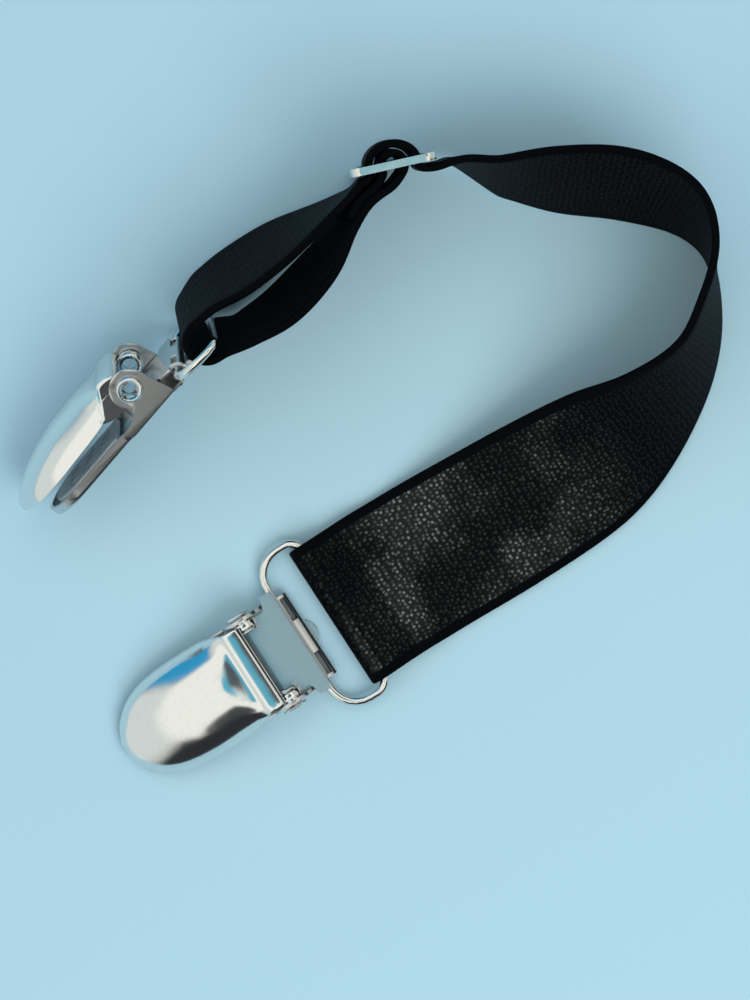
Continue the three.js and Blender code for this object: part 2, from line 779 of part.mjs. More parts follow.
// Three sweeps that overlap where they follow each other, so that both sewn ends melt into one band.
function strap() {
  const fold = foldAtClipA();
  const inner = courseStations(INNER_STRAND);
  const loop = endLoop();
  const half = Math.ceil(loop.length / 2);
  const main = [
    ...fold.tail.slice(-2), ...fold.descent, ...courseStations(LONG_ARM), ...weaveStations(),
    ...courseStations(OUTER_STRAND), ...foldAtClipB(), ...inner, ...loop.slice(0, half),
  ];
  const end = [...loop.slice(half - 2), ...tailStations(inner)];
  return join([strapSweep(fold.tail), strapSweep(main), strapSweep(end)]);
}

// Assembly

const assembly = new THREE.Group();

function frameGroup(origin, xAxis, yAxis) {
  const zAxis = new THREE.Vector3().crossVectors(xAxis, yAxis).normalize();
  const group = new THREE.Group();
  group.quaternion.setFromRotationMatrix(new THREE.Matrix4().makeBasis(xAxis, yAxis, zAxis));
  group.position.copy(origin);
  assembly.add(group);
  return group;
}

function addPiece(group, name, geometry, material) {
  const mesh = new THREE.Mesh(geometry, material);
  mesh.name = name;
  group.add(mesh);
  return mesh;
}

// The ring hangs in the strap's fold; the clip hangs on the ring and droops a little on it.
function addClip({ letter, strapBar, barAxis, ringTowards, clipTowards, droop, open }) {
  const clipBar = strapBar.clone().addScaledVector(ringTowards, RING.barSpacing);
  addPiece(frameGroup(clipBar, ringTowards, barAxis), `ring_${letter}`, ring(), materials.wire);
  const outOfShell = new THREE.Vector3().crossVectors(clipTowards, barAxis);
  const forward = clipTowards.clone().applyAxisAngle(outOfShell, -droop * DEG);
  const eyeletAxis = barAxis.clone().applyAxisAngle(outOfShell, -droop * DEG);
  const hinge = clipBar.clone()
    .addScaledVector(forward, -RING_BAR_X)
    .addScaledVector(outOfShell, -RING_BAR_Z);
  const clip = frameGroup(hinge, forward, eyeletAxis);
  addPiece(clip, `base_jaw_${letter}`, baseJaw(), materials.metal);
  addPiece(clip, `jaw_pad_${letter}`, jawPad(), materials.pad);
  addPiece(clip, `eyelet_${letter}_1`, eyelet(1), materials.metal);
  addPiece(clip, `eyelet_${letter}_2`, eyelet(-1), materials.metal);
  const shell = addPiece(clip, `shell_jaw_${letter}`, shellJaw(), materials.metal);
  shell.rotation.y = (SHELL.closedTurn - open) * DEG;
}

addPiece(assembly, 'strap', strap(), materials.strap);
addPiece(frameGroup(SLIDER_PLACE.centre, SLIDER_X, SLIDER_Y), 'slider', slider(), materials.metal);

const ringDrop = Math.asin((CLIP_A.strapBar.z + BASE.underside - RING_BAR_Z) / RING.barSpacing);
const acrossClipA = heading(CLIP_A.ringHeading + 90);
const ringTowardsA = heading(CLIP_A.ringHeading).applyAxisAngle(acrossClipA, ringDrop);
addClip({
  letter: 'a',
  strapBar: CLIP_A.strapBar,
  barAxis: acrossClipA,
  ringTowards: ringTowardsA,
  clipTowards: heading(CLIP_A.ringHeading),
  droop: 0,
  open: 0,
});
addClip({
  letter: 'b',
  strapBar: CLIP_B.strapBar,
  barAxis: RING_B_AXIS,
  ringTowards: squareTo(RING_B_AXIS, heading(CLIP_B.ringHeading)),
  clipTowards: squareTo(RING_B_AXIS, heading(CLIP_B.clipHeading)),
  droop: CLIP_B.droop,
  open: CLIP_B.open,
});

// The origin is on the table under the middle of the whole part.
assembly.updateMatrixWorld(true);
const extent = new THREE.Box3().setFromObject(assembly, true);
const middle = extent.getCenter(new THREE.Vector3());
assembly.position.set(-middle.x, -middle.y, -extent.min.z);

export default assembly;
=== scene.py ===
# Looks of the sock suspender: woven elastic strap, plated clips, rings and slider.
import math

import bpy
from mathutils import Matrix, Vector


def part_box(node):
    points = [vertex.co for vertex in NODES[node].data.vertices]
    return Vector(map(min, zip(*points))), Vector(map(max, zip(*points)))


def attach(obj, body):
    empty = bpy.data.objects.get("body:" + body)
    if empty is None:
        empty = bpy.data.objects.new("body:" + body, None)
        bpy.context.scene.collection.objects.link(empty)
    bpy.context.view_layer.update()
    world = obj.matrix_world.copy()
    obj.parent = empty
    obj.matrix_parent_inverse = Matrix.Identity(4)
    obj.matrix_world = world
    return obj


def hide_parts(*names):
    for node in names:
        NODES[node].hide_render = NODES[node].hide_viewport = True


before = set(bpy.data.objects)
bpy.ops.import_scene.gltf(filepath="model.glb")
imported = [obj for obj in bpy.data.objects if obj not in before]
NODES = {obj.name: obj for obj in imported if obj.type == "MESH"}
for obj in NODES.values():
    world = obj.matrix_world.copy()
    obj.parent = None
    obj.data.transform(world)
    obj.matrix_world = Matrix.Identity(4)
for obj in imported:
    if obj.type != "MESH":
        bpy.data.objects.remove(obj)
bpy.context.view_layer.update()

MM = 0.001
UP = Vector((0, 0, 1))


def heading(degrees):
    """The level direction at an angle from +X."""
    angle = math.radians(degrees)
    return Vector((math.cos(angle), math.sin(angle), 0))


def toward(bearing, from_top, distance):
    """A place seen from the origin at a compass bearing and an angle down from straight up."""
    angle = math.radians(from_top)
    flat = heading(bearing) * math.sin(angle)
    return (flat + UP * math.cos(angle)) * distance


# Camera

SLIDER_CENTRE = Vector((2.5, 52.4, 14.7))
CAMERA_HEIGHT = 600
CAMERA_LENS = 180
CAMERA_SENSOR = 36
CAMERA_REACH = 20


def layout_zero():
    """The layout's zero in the part's frame in millimetres, from the middle of the slider."""
    low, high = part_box("slider")
    middle = (low + high) / (2 * MM)
    return Vector((middle.x - SLIDER_CENTRE.x, middle.y - SLIDER_CENTRE.y, 0))


LAYOUT_ZERO = layout_zero()


def make_camera():
    data = bpy.data.cameras.new("camera")
    data.sensor_fit = "HORIZONTAL"
    data.sensor_width = CAMERA_SENSOR
    data.lens = CAMERA_LENS
    data.clip_end = CAMERA_REACH
    camera = bpy.data.objects.new("camera", data)
    camera.location = (LAYOUT_ZERO + UP * CAMERA_HEIGHT) * MM
    bpy.context.scene.collection.objects.link(camera)
    bpy.context.scene.camera = camera
    bpy.context.scene.view_settings.view_transform = "Standard"


# Node trees

# Among a colour mix's inputs, the places of the factor and the two colours, and its colour output.
MIX_INPUTS = (0, 6, 7)
MIX_OUTPUT = 2


class Nodes:
    """Short names for building one node tree."""

    def __init__(self, tree):
        self.tree = tree

    def put(self, node, name, value):
        """Links a socket into an input, or sets the input to a plain value."""
        socket = node.inputs[name]
        if isinstance(value, bpy.types.NodeSocket):
            self.tree.links.new(value, socket)
        else:
            socket.default_value = value

    def node(self, kind, **sockets):
        made = self.tree.nodes.new(kind)
        for name, value in sockets.items():
            self.put(made, name, value)
        return made

    def calc(self, operation, *values):
        made = self.tree.nodes.new("ShaderNodeMath")
        made.operation = operation
        for index, value in enumerate(values):
            self.put(made, index, value)
        return made.outputs["Value"]

    def vector_calc(self, operation, output, *vectors):
        made = self.tree.nodes.new("ShaderNodeVectorMath")
        made.operation = operation
        for index, value in enumerate(vectors):
            self.put(made, index, value)
        return made.outputs[output]

    def mix(self, factor, first, second):
        """From the first colour to the second as the factor goes from 0 to 1."""
        made = self.tree.nodes.new("ShaderNodeMix")
        made.data_type = "RGBA"
        for index, value in zip(MIX_INPUTS, (factor, first, second)):
            self.put(made, index, value)
        return made.outputs[MIX_OUTPUT]

    def remap(self, value, low, high, first=0.0, second=1.0, curve="SMOOTHSTEP"):
        """From first to second as the value goes from low to high, and no further."""
        made = self.tree.nodes.new("ShaderNodeMapRange")
        made.interpolation_type = curve
        for index, entry in enumerate((value, low, high, first, second)):
            self.put(made, index, entry)
        return made.outputs["Result"]

    def noise(self, scale, detail, vector=None):
        """Uneven values over the piece itself, or over another vector."""
        if vector is None:
            vector = self.node("ShaderNodeTexCoord").outputs["Object"]
        return self.node("ShaderNodeTexNoise", Vector=vector, Scale=scale, Detail=detail).outputs["Fac"]

    def bump(self, height, depth, strength=1.0, under=None):
        """A normal for relief that is this many millimetres deep, over another normal."""
        made = self.node("ShaderNodeBump", Height=height, Distance=depth * MM, Strength=strength)
        if under is not None:
            self.put(made, "Normal", under)
        return made.outputs["Normal"]


class Material(Nodes):
    """A node material with one surface."""

    def __init__(self, name):
        self.material = bpy.data.materials.new(name)
        self.material.use_nodes = True
        super().__init__(self.material.node_tree)

    def finish(self, **sockets):
        """Fills the surface's inputs, with _ for each space in an input's name."""
        surface = self.tree.nodes["Principled BSDF"]
        for name, value in sockets.items():
            self.put(surface, name.replace("_", " "), value)
        return self.material


# Stage

FLOOR_SIZE = 6
FLOOR_DROP = 0.02
FLOOR_COLOR = (0.42, 0.66, 0.79, 1)
FLOOR_ROUGHNESS = 0.6
FLOOR_SPECULAR = 0.2


def make_floor():
    paper = Material("floor_paper").finish(
        Base_Color=FLOOR_COLOR, Roughness=FLOOR_ROUGHNESS, Specular_IOR_Level=FLOOR_SPECULAR)
    half = FLOOR_SIZE / 2
    level = -FLOOR_DROP * MM
    corners = [(-half, -half, level), (half, -half, level), (half, half, level), (-half, half, level)]
    mesh = bpy.data.meshes.new("floor")
    mesh.from_pydata(corners, [], [(0, 1, 2, 3)])
    mesh.materials.append(paper)
    floor = bpy.data.objects.new("floor", mesh)
    bpy.context.scene.collection.objects.link(floor)


# The studio round the part: a white ceiling that ends at an angle from straight up, and walls.
CEILING_COLOR = (1.02, 1.00, 0.93, 1)
CEILING_END_INNER = 42
CEILING_END_OUTER = 52
GREY_WALL = (0.60, 0.60, 0.57, 1)
# Bearing of the wall's middle, half its width at its inner and outer end, and its colour.
WALLS = [
    (118, 26, 42, (0.03, 0.34, 0.64, 1)),
    (197, 32, 46, (0.74, 0.79, 0.77, 1)),
    (302, 48, 62, (0.03, 0.03, 0.035, 1)),
]
# Bearing and angle from straight up, inner and outer radius in degrees, and colour.
CEILING_SPOTS = [
    (235, 3, 6, 11, (0.10, 0.46, 0.62, 1)),
    (-77, 39, 10, 15, (0.05, 0.055, 0.06, 1)),
    (48, 15, 9, 15, (0.07, 0.08, 0.09, 1)),
]


def make_world():
    world = bpy.data.worlds.new("studio")
    world.use_nodes = True
    nodes = Nodes(world.node_tree)
    direction = nodes.node("ShaderNodeTexCoord").outputs["Generated"]

    def within(seen, middle, inner, outer):
        """From 0 to 1 as the seen direction comes from the outer angle off a middle to the inner one."""
        closeness = nodes.vector_calc("DOT_PRODUCT", "Value", seen, middle)
        return nodes.remap(closeness, math.cos(math.radians(outer)), math.cos(math.radians(inner)))

    level = nodes.vector_calc("MULTIPLY", "Vector", direction, (1, 1, 0))
    bearing = nodes.vector_calc("NORMALIZE", "Vector", level)
    walls = GREY_WALL
    for middle, inner, outer, color in WALLS:
        walls = nodes.mix(within(bearing, heading(middle), inner, outer), walls, color)
    ceiling = CEILING_COLOR
    for middle, from_top, inner, outer, color in CEILING_SPOTS:
        ceiling = nodes.mix(within(direction, toward(middle, from_top, 1), inner, outer), ceiling, color)
    sky = nodes.mix(within(direction, UP, CEILING_END_INNER, CEILING_END_OUTER), walls, ceiling)
    nodes.put(nodes.tree.nodes["Background"], "Color", sky)
    bpy.context.scene.world = world


# Key light: bearing and angle from straight up, distance and side in metres, and watts.
KEY_BEARING = -55
KEY_FROM_TOP = 38
KEY_DISTANCE = 1.0
KEY_SIDE = 0.7
KEY_POWER = 5.5
KEY_COLOR = (1.0, 0.985, 0.95)


def make_key_light():
    """The key light, which the metal doesn't mirror."""
    data = bpy.data.lights.new("key", "AREA")
    data.shape = "SQUARE"
    data.size = KEY_SIDE
    data.energy = KEY_POWER
    data.color = KEY_COLOR
    light = bpy.data.objects.new("key", data)
    light.location = toward(KEY_BEARING, KEY_FROM_TOP, KEY_DISTANCE)
    light.rotation_euler = (-light.location).to_track_quat("-Z", "Y").to_euler()
    light.visible_glossy = False
    bpy.context.scene.collection.objects.link(light)


make_camera()
make_floor()
make_world()
make_key_light()


# Strap course: the middle line of the elastic, the same as in the solids

STRAP_WIDTH = 25
STRAP_THICKNESS = 1.3
WIRE_RADIUS = 0.7
GAP = 0.3
FOLD_RADIUS = WIRE_RADIUS + GAP + STRAP_THICKNESS / 2
FOLD_TAIL = 9
SEWN_OVERLAP = 0.02
SEWN_HEIGHT = 1.5 * STRAP_THICKNESS - SEWN_OVERLAP

CLIP_A_BAR = Vector((-5.2, -17.8, 2.35))
CLIP_A_HEADING = 213
CLIP_B_LEAN = 16.2
CLIP_B_LEAN_TOWARDS = -70
CLIP_B_HEADING = 228
CLIP_B_FOLD_CENTRE = Vector((-26.9, 27.4, 14.5))
CLIP_B_FOLD_RADIUS = 3.2
SLIDER_HEADING = 12.5
SLIDER_LEAN = 84.5

# Height of the strap's middle at distances from the ring bar of clip a.
FOLD_DESCENT = [(1.2, 3.9), (2.5, 3.3), (3.9, 2.3), (5.4, SEWN_HEIGHT), (8.6, SEWN_HEIGHT)]

# Place of the middle line, lean of the width from flat, height of the lower edge.
LONG_ARM = [
    (4.9, -11.4, 0, 0.5),
    (9.9, -8.4, 2, 0.05),
    (20.6, -2.2, 10, 0),
    (34.0, 6.0, 26, 0),
    (43.3, 13.3, 52, 0),
    (50.0, 21.8, 70, 0),
    (52.6, 31.0, 79, 0),
    (52.5, 39.4, 89, 0),
    (47.8, 46.0, 104, 0),
    (39.2, 49.4, 110, 0),
    (29.0, 50.2, 108, 0.4),
    (19.8, 50.7, 98, 1.2),
]
OUTER_STRAND = [
    (-9.2, 44.2, 78, 1.6),
    (-15.4, 40.2, 71, 1.2),
    (-22.0, 35.6, 69, 1.2),
    (-26.6, 32.5, 72, 1.8),
]
INNER_STRAND = [
    (-20.8, 26.4, 104, 1.4),
    (-14.6, 30.4, 107, 1.4),
    (-9.0, 36.4, 106, 1.6),
    (-5.0, 42.4, 100, 1.8),
    (-1.8, 46.3, 97, 2.1),
    (2.2, 48.9, 95, 2.1),
]
# The weave through the slider, along and across its frame from the middle bar.
WEAVE_IN = [(9.6, -1.5), (7.0, -1.75), (5.3, -1.65)]
WEAVE_HALF_SPAN = 3.9
WEAVE_HEIGHT = 3.25
WEAVE_FROM = -20
WEAVE_TO = 200
WEAVE_OUT = [(-5.3, -1.75), (-6.8, -2.9)]
END_LOOP_RADIUS = 1.9
END_LOOP_FROM = -30
END_LOOP_TO = 210
TAIL_OFFSETS = [2.5, 1.8, 1.35, 1.3, 1.3, 1.3, 1.3, 1.3]
ROUND_STEPS = 13
ROW_STEPS = 4
CURVE_TENSION = 0.5

SLIDER_X = heading(SLIDER_HEADING)
SLIDER_BAR = (heading(SLIDER_HEADING + 90) * -math.cos(math.radians(SLIDER_LEAN))
              + UP * math.sin(math.radians(SLIDER_LEAN)))
SLIDER_Y = SLIDER_BAR.cross(SLIDER_X)
RING_B_AXIS = toward(CLIP_B_LEAN_TOWARDS, CLIP_B_LEAN, 1)


def square_to(axis, direction):
    return (direction - axis * direction.dot(axis)).normalized()


def turned(vector, axis, degrees):
    return Matrix.Rotation(math.radians(degrees), 3, axis) @ vector


def cubic(start, end, leaving, arriving, t):
    """Place and direction at t, from 0 to 1, on the curve with these directions at its ends."""
    a = start * 2 - end * 2 + leaving + arriving
    b = start * -3 + end * 3 - leaving * 2 - arriving
    here = ((a * t + b) * t + leaving) * t + start
    along = (a * (3 * t) + b * 2) * t + leaving
    return here, along


def smooth_curve(points, position):
    """Place and direction on a smooth curve through points, position from 0 to 1."""
    place = position * (len(points) - 1)
    index = min(int(place), len(points) - 2)
    p1 = points[index]
    p2 = points[index + 1]
    p0 = points[index - 1] if index > 0 else p1 * 2 - p2
    p3 = points[index + 2] if index + 2 < len(points) else p2 * 2 - p1
    leaving = (p2 - p0) * CURVE_TENSION
    arriving = (p3 - p1) * CURVE_TENSION
    return cubic(p1, p2, leaving, arriving, place - index)


def course_stations(table):
    places = [Vector((x, y, 0)) for x, y, lean, lift in table]
    leans = [Vector((lean, lift, 0)) for x, y, lean, lift in table]
    steps = ROW_STEPS * (len(table) - 1)
    stations = []
    for step in range(steps + 1):
        place, along = smooth_curve(places, step / steps)
        leaned, _ = smooth_curve(leans, step / steps)
        lean = math.radians(leaned.x)
        rise = STRAP_WIDTH / 2 * math.sin(lean)
        rest = STRAP_THICKNESS / 2 * abs(math.cos(lean))
        left = Vector((-along.y, along.x, 0)).normalized()
        width = left * math.cos(lean) + UP * math.sin(lean)
        stations.append((Vector((place.x, place.y, leaned.y + rise + rest)), width))
    return stations


def bar_stations(centre, axis, start_arm, first, last):
    """The strap's course round a bar, from the first angle to the last in degrees."""
    stations = []
    for step in range(ROUND_STEPS + 1):
        arm = turned(start_arm, axis, first + (last - first) * step / ROUND_STEPS)
        stations.append((centre + arm, axis.copy()))
    return stations


def fold_at_clip_a():
    forward = heading(CLIP_A_HEADING - 180)
    across = UP.cross(forward)
    low = STRAP_THICKNESS / 2

    def station(distance, height):
        place = CLIP_A_BAR + forward * distance
        return Vector((place.x, place.y, height)), across.copy()

    tail = [station(distance, low) for distance in (FOLD_TAIL, FOLD_TAIL / 2, FOLD_TAIL / 6)]
    turn = bar_stations(CLIP_A_BAR, across, UP * -FOLD_RADIUS, 0, 180)
    return tail + turn + [station(*row) for row in FOLD_DESCENT]


def slider_station(along, across):
    return SLIDER_CENTRE + SLIDER_X * along + SLIDER_Y * across, SLIDER_BAR.copy()


def weave_stations():
    stations = [slider_station(*row) for row in WEAVE_IN]
    for step in range(ROUND_STEPS + 1):
        angle = math.radians(WEAVE_FROM + (WEAVE_TO - WEAVE_FROM) * step / ROUND_STEPS)
        stations.append(slider_station(WEAVE_HALF_SPAN * math.cos(angle), WEAVE_HEIGHT * math.sin(angle)))
    return stations + [slider_station(*row) for row in WEAVE_OUT]


def fold_at_clip_b():
    towards = square_to(RING_B_AXIS, heading(CLIP_B_HEADING))
    arm = towards.cross(RING_B_AXIS) * CLIP_B_FOLD_RADIUS
    return bar_stations(CLIP_B_FOLD_CENTRE, RING_B_AXIS, arm, 0, 180)


def end_loop():
    return bar_stations(SLIDER_CENTRE, SLIDER_BAR, SLIDER_X * END_LOOP_RADIUS, END_LOOP_FROM, END_LOOP_TO)


def tail_stations(strand):
    """The sewn tail, which runs back along a strand at offsets from its face."""
    back = strand[::-1][:len(TAIL_OFFSETS) + 1]
    stations = []
    for index, offset in enumerate(TAIL_OFFSETS):
        along = back[index][0] - back[index + 1][0]
        face = along.cross(back[index][1]).normalized()
        stations.append((back[index][0] - face * offset, back[index][1].copy()))
    return stations


def strap_stations():
    inner = course_stations(INNER_STRAND)
    return (fold_at_clip_a() + course_stations(LONG_ARM) + weave_stations()
            + course_stations(OUTER_STRAND) + fold_at_clip_b() + inner + end_loop()
            + tail_stations(inner))


# Strap mesh

STATION_STEP = 0.42
CURVE_PARTS = 8
RELAX_ROUNDS = 4
FACE_COLUMNS = 26
EDGE_ROUND = 0.42
EDGE_ANGLES = (30, 60, 90, 120, 150)
# The least that a division uses, where two stations or samples lie on one another.
LEAST_ROOT = 1e-4
LEAST_DISTANCE = 1e-9


def spaced_curve(p0, p1, p2, p3, t):
    """Place between p1 and p2 on a curve that suits rows at uneven distances, t from 0 to 1."""
    d0, d1, d2 = (max(math.sqrt((b - a).length), LEAST_ROOT) for a, b in ((p0, p1), (p1, p2), (p2, p3)))
    leaving = ((p1 - p0) / d0 - (p2 - p0) / (d0 + d1) + (p2 - p1) / d1) * d1
    arriving = ((p2 - p1) / d1 - (p3 - p1) / (d1 + d2) + (p3 - p2) / d2) * d1
    here, _ = cubic(p1, p2, leaving, arriving, t)
    return here


def even_stations(stations):
    """The same course with stations at even distances along it, and its length."""
    places = [place for place, _ in stations]
    places = [places[0] * 2 - places[1]] + places + [places[-1] * 2 - places[-2]]
    samples = [[0.0, stations[0][0], stations[0][1]]]
    for index in range(len(stations) - 1):
        for part in range(1, CURVE_PARTS + 1):
            share = part / CURVE_PARTS
            place = spaced_curve(*places[index:index + 4], share)
            width = stations[index][1].lerp(stations[index + 1][1], share)
            samples.append([samples[-1][0] + (place - samples[-1][1]).length, place, width])
    length = samples[-1][0]
    count = int(length / STATION_STEP)
    even = []
    cursor = 0
    for index in range(count + 1):
        wanted = length * index / count
        while cursor < len(samples) - 2 and samples[cursor + 1][0] < wanted:
            cursor += 1
        here, there = samples[cursor], samples[cursor + 1]
        share = (wanted - here[0]) / max(there[0] - here[0], LEAST_DISTANCE)
        even.append([wanted, here[1].lerp(there[1], share), here[2].lerp(there[2], share)])
    return even, length


def relax(stations):
    """Evens out small kinks in the course, with both ends kept."""
    for _ in range(RELAX_ROUNDS):
        copy = [(place.copy(), width.copy()) for _, place, width in stations]
        for index in range(1, len(stations) - 1):
            stations[index][1] = (copy[index - 1][0] + copy[index][0] * 2 + copy[index + 1][0]) / 4
            stations[index][2] = (copy[index - 1][1] + copy[index][1] * 2 + copy[index + 1][1]) / 4


def ribbon_outline():
    """The strap's section: place across the width, place through the thickness, both in mm."""
    inner = STRAP_WIDTH / 2 - EDGE_ROUND
    t = STRAP_THICKNESS / 2
    top = [(inner - 2 * inner * k / FACE_COLUMNS, t) for k in range(FACE_COLUMNS + 1)]
    corner = [(-math.sin(a), math.cos(a)) for a in map(math.radians, EDGE_ANGLES)]
    left = [(-inner + EDGE_ROUND * x, t * y) for x, y in corner]
    bottom = [(-x, -t) for x, _ in top]
    right = [(-x, -y) for x, y in left]
    return top + left + bottom + right


def strap_vertices(stations, outline):
    vertices = []
    for index, (_, place, width) in enumerate(stations):
        before = stations[max(index - 1, 0)][1]
        after = stations[min(index + 1, len(stations) - 1)][1]
        along = (after - before).normalized()
        across = width.normalized()
        face = along.cross(across).normalized()
        for side, up in outline:
            vertices.append((place + across * side + face * up + LAYOUT_ZERO) * MM)
    return vertices


def strap_faces(stations, outline, length):
    """The strap's faces, and for each corner its place along and around the strap in metres."""
    count = len(outline)
    around = [0.0]
    for column in range(count):
        here = Vector(outline[column])
        there = Vector(outline[(column + 1) % count])
        around.append(around[-1] + (there - here).length)
    faces = []
    coordinates = []
    for row in range(len(stations) - 1):
        for column in range(count):
            side = (column + 1) % count
            faces.append((row * count + column, row * count + side,
                          (row + 1) * count + side, (row + 1) * count + column))
            u0 = stations[row][0] * MM
            u1 = stations[row + 1][0] * MM
            v0 = around[column] * MM
            v1 = around[column + 1] * MM
            coordinates += [(u0, v0), (u0, v1), (u1, v1), (u1, v0)]
    last = (len(stations) - 1) * count
    faces.append(tuple(range(count - 1, -1, -1)))
    faces.append(tuple(range(last, last + count)))
    coordinates += [(0, around[k] * MM) for k in range(count - 1, -1, -1)]
    coordinates += [(length * MM, around[k] * MM) for k in range(count)]
    return faces, coordinates


def build_strap(material):
    stations, length = even_stations(strap_stations())
    relax(stations)
    outline = ribbon_outline()
    faces, coordinates = strap_faces(stations, outline, length)
    mesh = bpy.data.meshes.new("strap_elastic")
    mesh.from_pydata(strap_vertices(stations, outline), [], faces)
    layer = mesh.uv_layers.new(name="weave")
    for loop, pair in zip(layer.data, coordinates):
        loop.uv = pair
    mesh.polygons.foreach_set("use_smooth", [True] * len(mesh.polygons))
    mesh.materials.append(material)
    mesh.validate()
    strap = bpy.data.objects.new("strap_elastic", mesh)
    bpy.context.scene.collection.objects.link(strap)
    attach(strap, "band")
    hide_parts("strap")


# Elastic: fine cross ribs, small yarn crests with painted highlights and patches of painted sheen on the
# flat arm, smooth bands along both edges

FACE_WIDTH = STRAP_WIDTH - 2 * EDGE_ROUND
# How far past the end of a face the pattern turns back.
EDGE_TURN = 1.2
EDGE_BAND = 1.1
EDGE_BAND_SOFT = 0.15
RIB_PITCH = 0.90
RIB_DEPTH = 0.06
FUZZ_SCALE = 2600.0
FUZZ_DETAIL = 2.0
FUZZ_DEPTH = 0.02

CREST_PITCH = 0.70
CREST_CORE = 0.08
CREST_REACH = 0.36
# How far a crest may sit off the middle of its cell, both ways together, as a share of the cell.
CREST_PLAY = 0.6
# Stretches of the strap, from its end in clip a's fold: start, end, soft length at the start and
# at the end, and how bright the painted highlight on the crests is there.
CREST_HIGHLIGHT_STRETCHES = [
    (13.2, 14.6, 0.3, 0.3, 0.8),
    (14.9, 20.5, 0.3, 1.5, 0.22),
    (20.8, 48.0, 1.5, 22.0, 1.0),
]

# Patches of painted sheen where the crests catch the light, and painted sparkle specks and glints of
# single crests.
PATCH_SCALE = 48.0
PATCH_DETAIL = 3.0
PATCH_LOW = 0.42
PATCH_HIGH = 0.58
PATCH_LEAST = 0.10
SPECK_SCALE = 1500.0
SPECK_DETAIL = 2.0
SPECK_LOW = 0.48
SPECK_HIGH = 0.72
SPECK_LIGHT = 0.95
CREST_LIGHT = 0.12
GLINT_POWER = 3.0

# The crests have the yarn's own near-black; the hollows and edge bands get painted shade with a faint
# blue painted reflection.
YARN_SHADED_HOLLOW = (0.0018, 0.0021, 0.0030, 1)
YARN_CREST = (0.0095, 0.0098, 0.0102, 1)
# Tones of the painted sheen in the patches and of the painted glints on single crests.
YARN_PAINTED_SHEEN = (0.016, 0.018, 0.0175, 1)
YARN_PAINTED_GLINT = (0.19, 0.20, 0.198, 1)
YARN_ROUGHNESS = 0.62
YARN_SPECULAR = 0.025
YARN_SHEEN = 0.010
YARN_SHEEN_ROUGHNESS = 0.4
YARN_SHEEN_TINT = (0.35, 0.6, 1.0, 1)


def crest_offset(cloth, place, pitch, random):
    """Distance in millimetres, one way, from a crest that sits a little off the middle of its cell."""
    moved = cloth.calc("MULTIPLY_ADD", random, CREST_PLAY, cloth.calc("SUBTRACT", place, CREST_PLAY / 2))
    return cloth.calc("MULTIPLY", moved, pitch)


def crest_pattern(cloth, along, across):
    """Height of the yarn crests, from 0 to 1, and a chance value for each crest."""
    row = cloth.calc("DIVIDE", along, RIB_PITCH)
    row_index = cloth.calc("FLOOR", row)
    row_place = cloth.calc("SUBTRACT", cloth.calc("FRACT", row), 0.5)
    shift = cloth.calc("MULTIPLY", cloth.calc("MODULO", row_index, 2.0), 0.5)
    column = cloth.calc("ADD", cloth.calc("DIVIDE", across, CREST_PITCH), shift)
    column_index = cloth.calc("FLOOR", column)
    column_place = cloth.calc("SUBTRACT", cloth.calc("FRACT", column), 0.5)
    cell = cloth.node("ShaderNodeCombineXYZ", X=row_index, Y=column_index)
    chances = cloth.node("ShaderNodeTexWhiteNoise", Vector=cell.outputs["Vector"])
    jitter = cloth.node("ShaderNodeSeparateXYZ", Vector=chances.outputs["Color"])
    off_row = crest_offset(cloth, row_place, RIB_PITCH, jitter.outputs["X"])
    off_column = crest_offset(cloth, column_place, CREST_PITCH, jitter.outputs["Y"])
    away = cloth.node("ShaderNodeCombineXYZ", X=off_row, Y=off_column)
    distance = cloth.vector_calc("LENGTH", "Value", away.outputs["Vector"])
    crest = cloth.remap(distance, CREST_CORE, CREST_REACH, 1.0, 0.0)
    return crest, chances.outputs["Value"]


def crest_highlight_zone(cloth, along):
    """How bright the painted highlight on the crests is along the strap."""
    zone = 0.0
    for first, last, soft_start, soft_end, level in CREST_HIGHLIGHT_STRETCHES:
        rise = cloth.remap(along, first, first + soft_start)
        fall = cloth.remap(along, last, last + soft_end, level, 0.0)
        zone = cloth.calc("MULTIPLY_ADD", rise, fall, zone)
    return zone


